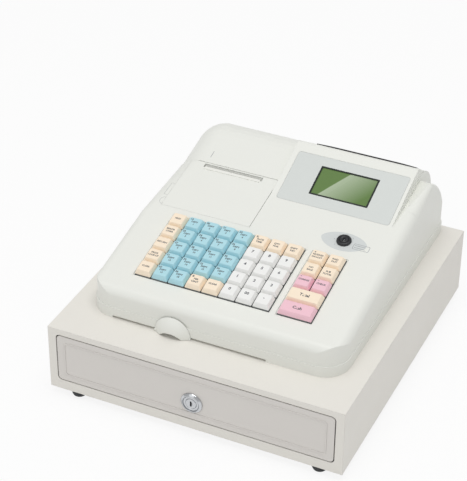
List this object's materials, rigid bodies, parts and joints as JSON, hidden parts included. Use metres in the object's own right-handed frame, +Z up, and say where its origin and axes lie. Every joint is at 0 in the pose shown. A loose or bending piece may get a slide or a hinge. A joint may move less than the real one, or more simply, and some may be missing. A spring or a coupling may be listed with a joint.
{
  "type": "cash register",
  "caption": "Electronic cash register: sloping keyboard housing with screen and receipt printer on a locking steel cash drawer with coin cups and sprung bill clips.",
  "frame": {"origin": "bottom centre of the bounding box with the drawer closed, on the surface that the feet stand on", "axes": "+Z up; the drawer opens towards -Y, which is the operator side; +X is the operator's right; the customer window faces +Y"},
  "size_m": [0.33, 0.358, 0.1839],
  "materials": {
    "box_paint": "fine-textured powder coat, warm white",
    "drawer_paint": "satin enamel, light grey",
    "zinc_steel": "zinc plated sheet",
    "foot_rubber": "moulded rubber",
    "housing_abs": "fine-sparked ABS, warm white",
    "tray_plastic": "moulded polystyrene, white",
    "clip_plastic": "moulded nylon, white",
    "clip_wire": "plated spring wire",
    "lock_chrome": "chromed zinc casting",
    "runner_nylon": "nylon",
    "key_white": "doubleshot key cap, white",
    "key_blue": "key cap, light blue",
    "key_cream": "key cap, cream",
    "key_pink": "key cap, pink",
    "panel_film": "printed polyester film, pale grey",
    "lcd_glass": "polished",
    "dark_window": "smoked acrylic",
    "circuit_board": "fibreglass board",
    "black_plastic": "fine matt",
    "roller_rubber": "ground rubber",
    "paper": "thermal paper",
    "printer_steel": "folded sheet"
  },
  "bodies": {
    "register": {"box_cover": "box_paint", "box_base": "box_paint", "drawer_rails": "zinc_steel", "rubber_feet": "foot_rubber", "release_solenoid": "zinc_steel", "ejector_springs": "zinc_steel", "base_shell": "housing_abs", "upper_shell": "housing_abs", "main_board": "circuit_board", "power_jack": "black_plastic", "keyboard_board": "circuit_board", "key_switches": "black_plastic", "mode_switch": "black_plastic", "display_panel": "panel_film", "lcd_window": "lcd_glass", "lcd_module": "circuit_board", "customer_window": "dark_window", "customer_display": "circuit_board", "printer_cover": "housing_abs", "tear_bar": "zinc_steel", "printer_frame": "printer_steel", "fasteners": "zinc_steel"},
    "drawer": {"drawer_pan": "box_paint", "drawer_front": "drawer_paint", "drawer_runners": "runner_nylon", "coin_tray": "tray_plastic", "bill_tray": "tray_plastic", "clip_bar": "clip_plastic", "lock_housing": "lock_chrome"},
    "drawer_lock": {"lock_plug": "lock_chrome", "lock_cam": "zinc_steel"},
    "catch_bolt": {"release_bolt": "zinc_steel"},
    "card_tray": {"card_tray": "housing_abs"},
    "paper_lid": {"paper_lid": "housing_abs"},
    "paper_roll": {"paper_roll": "paper"},
    "feed_roller": {"feed_roller": "roller_rubber"},
    "mode_barrel": {"mode_barrel": "black_plastic"},
    "bill_clip_1": {"bill_clip_1": "clip_wire"},
    "bill_clip_2": {"bill_clip_2": "clip_wire"},
    "bill_clip_3": {"bill_clip_3": "clip_wire"},
    "bill_clip_4": {"bill_clip_4": "clip_wire"},
    "key_0": {"key_0": "key_white"},
    "key_1": {"key_1": "key_white"},
    "key_2": {"key_2": "key_white"},
    "key_3": {"key_3": "key_white"},
    "key_4": {"key_4": "key_white"},
    "key_5": {"key_5": "key_white"},
    "key_6": {"key_6": "key_white"},
    "key_7": {"key_7": "key_white"},
    "key_8": {"key_8": "key_white"},
    "key_9": {"key_9": "key_white"},
    "double_zero_and_point_keys": {"double_zero_and_point_keys": "key_white"},
    "department_keys": {"department_keys": "key_blue"},
    "clerk_keys": {"clerk_keys": "key_cream"},
    "function_keys": {"function_keys": "key_cream"},
    "total_key": {"total_key": "key_cream"},
    "cash_key": {"cash_key": "key_pink"}
  },
  "joints": [
    {"name": "drawer_slide", "type": "slide", "parent": "register", "child": "drawer", "axis": [0, -1, 0], "range_m": [0, 0.215]},
    {"name": "lock_turn", "type": "hinge", "parent": "drawer", "child": "drawer_lock", "pos_m": [0, -0.167, 0.043], "axis": [0, 1, 0], "range_deg": [0, 90]},
    {"name": "bill_clip_1_lift", "type": "hinge", "parent": "drawer", "child": "bill_clip_1", "pos_m": [-0.10988, 0.0368, 0.0632], "axis": [-1, 0, 0], "range_deg": [0, 38], "stiffness_Nm_per_rad": 0.04, "springref_deg": -22.92},
    {"name": "bill_clip_2_lift", "type": "hinge", "parent": "drawer", "child": "bill_clip_2", "pos_m": [-0.03662, 0.0368, 0.0632], "axis": [-1, 0, 0], "range_deg": [0, 38], "stiffness_Nm_per_rad": 0.04, "springref_deg": -22.92},
    {"name": "bill_clip_3_lift", "type": "hinge", "parent": "drawer", "child": "bill_clip_3", "pos_m": [0.03662, 0.0368, 0.0632], "axis": [-1, 0, 0], "range_deg": [0, 38], "stiffness_Nm_per_rad": 0.04, "springref_deg": -22.92},
    {"name": "bill_clip_4_lift", "type": "hinge", "parent": "drawer", "child": "bill_clip_4", "pos_m": [0.10988, 0.0368, 0.0632], "axis": [-1, 0, 0], "range_deg": [0, 38], "stiffness_Nm_per_rad": 0.04, "springref_deg": -22.92},
    {"name": "catch_bolt_slide", "type": "slide", "parent": "register", "child": "catch_bolt", "axis": [-1, 0, 0], "range_m": [0, 0.006]},
    {"name": "card_tray_slide", "type": "slide", "parent": "register", "child": "card_tray", "axis": [0, -1, 0], "range_m": [0, 0.1]},
    {"name": "paper_lid_hinge", "type": "hinge", "parent": "register", "child": "paper_lid", "pos_m": [-0.068, 0.16939, 0.15287], "axis": [-1, 0, 0], "range_deg": [0, 80]},
    {"name": "paper_roll_spin", "type": "hinge", "parent": "register", "child": "paper_roll", "pos_m": [-0.07, 0.11826, 0.13783], "axis": [1, 0, 0], "continuous": true},
    {"name": "feed_roller_spin", "type": "hinge", "parent": "register", "child": "feed_roller", "pos_m": [-0.07, 0.07121, 0.14733], "axis": [1, 0, 0], "continuous": true},
    {"name": "mode_turn", "type": "hinge", "parent": "register", "child": "mode_barrel", "pos_m": [0.084, 0.01393, 0.14871], "axis": [0, -0.1908, 0.9816], "range_deg": [-45, 90]},
    {"name": "key_0_press", "type": "slide", "parent": "register", "child": "key_0", "axis": [0, 0.1908, -0.9816], "range_m": [0, 0.0032], "stiffness_N_per_m": 120, "springref_m": -0.005},
    {"name": "key_1_press", "type": "slide", "parent": "register", "child": "key_1", "axis": [0, 0.1908, -0.9816], "range_m": [0, 0.0032], "stiffness_N_per_m": 120, "springref_m": -0.005},
    {"name": "key_2_press", "type": "slide", "parent": "register", "child": "key_2", "axis": [0, 0.1908, -0.9816], "range_m": [0, 0.0032], "stiffness_N_per_m": 120, "springref_m": -0.005},
    {"name": "key_3_press", "type": "slide", "parent": "register", "child": "key_3", "axis": [0, 0.1908, -0.9816], "range_m": [0, 0.0032], "stiffness_N_per_m": 120, "springref_m": -0.005},
    {"name": "key_4_press", "type": "slide", "parent": "register", "child": "key_4", "axis": [0, 0.1908, -0.9816], "range_m": [0, 0.0032], "stiffness_N_per_m": 120, "springref_m": -0.005},
    {"name": "key_5_press", "type": "slide", "parent": "register", "child": "key_5", "axis": [0, 0.1908, -0.9816], "range_m": [0, 0.0032], "stiffness_N_per_m": 120, "springref_m": -0.005},
    {"name": "key_6_press", "type": "slide", "parent": "register", "child": "key_6", "axis": [0, 0.1908, -0.9816], "range_m": [0, 0.0032], "stiffness_N_per_m": 120, "springref_m": -0.005},
    {"name": "key_7_press", "type": "slide", "parent": "register", "child": "key_7", "axis": [0, 0.1908, -0.9816], "range_m": [0, 0.0032], "stiffness_N_per_m": 120, "springref_m": -0.005},
    {"name": "key_8_press", "type": "slide", "parent": "register", "child": "key_8", "axis": [0, 0.1908, -0.9816], "range_m": [0, 0.0032], "stiffness_N_per_m": 120, "springref_m": -0.005},
    {"name": "key_9_press", "type": "slide", "parent": "register", "child": "key_9", "axis": [0, 0.1908, -0.9816], "range_m": [0, 0.0032], "stiffness_N_per_m": 120, "springref_m": -0.005},
    {"name": "double_zero_and_point_keys_press", "type": "slide", "parent": "register", "child": "double_zero_and_point_keys", "axis": [0, 0.1908, -0.9816], "range_m": [0, 0.0032], "stiffness_N_per_m": 240, "springref_m": -0.005},
    {"name": "department_keys_press", "type": "slide", "parent": "register", "child": "department_keys", "axis": [0, 0.1908, -0.9816], "range_m": [0, 0.0032], "stiffness_N_per_m": 2160, "springref_m": -0.005},
    {"name": "clerk_keys_press", "type": "slide", "parent": "register", "child": "clerk_keys", "axis": [0, 0.1908, -0.9816], "range_m": [0, 0.0032], "stiffness_N_per_m": 840, "springref_m": -0.005},
    {"name": "function_keys_press", "type": "slide", "parent": "register", "child": "function_keys", "axis": [0, 0.1908, -0.9816], "range_m": [0, 0.0032], "stiffness_N_per_m": 1080, "springref_m": -0.005},
    {"name": "total_key_press", "type": "slide", "parent": "register", "child": "total_key", "axis": [0, 0.1908, -0.9816], "range_m": [0, 0.0032], "stiffness_N_per_m": 120, "springref_m": -0.005},
    {"name": "cash_key_press", "type": "slide", "parent": "register", "child": "cash_key", "axis": [0, 0.1908, -0.9816], "range_m": [0, 0.0032], "stiffness_N_per_m": 120, "springref_m": -0.005}
  ]
}
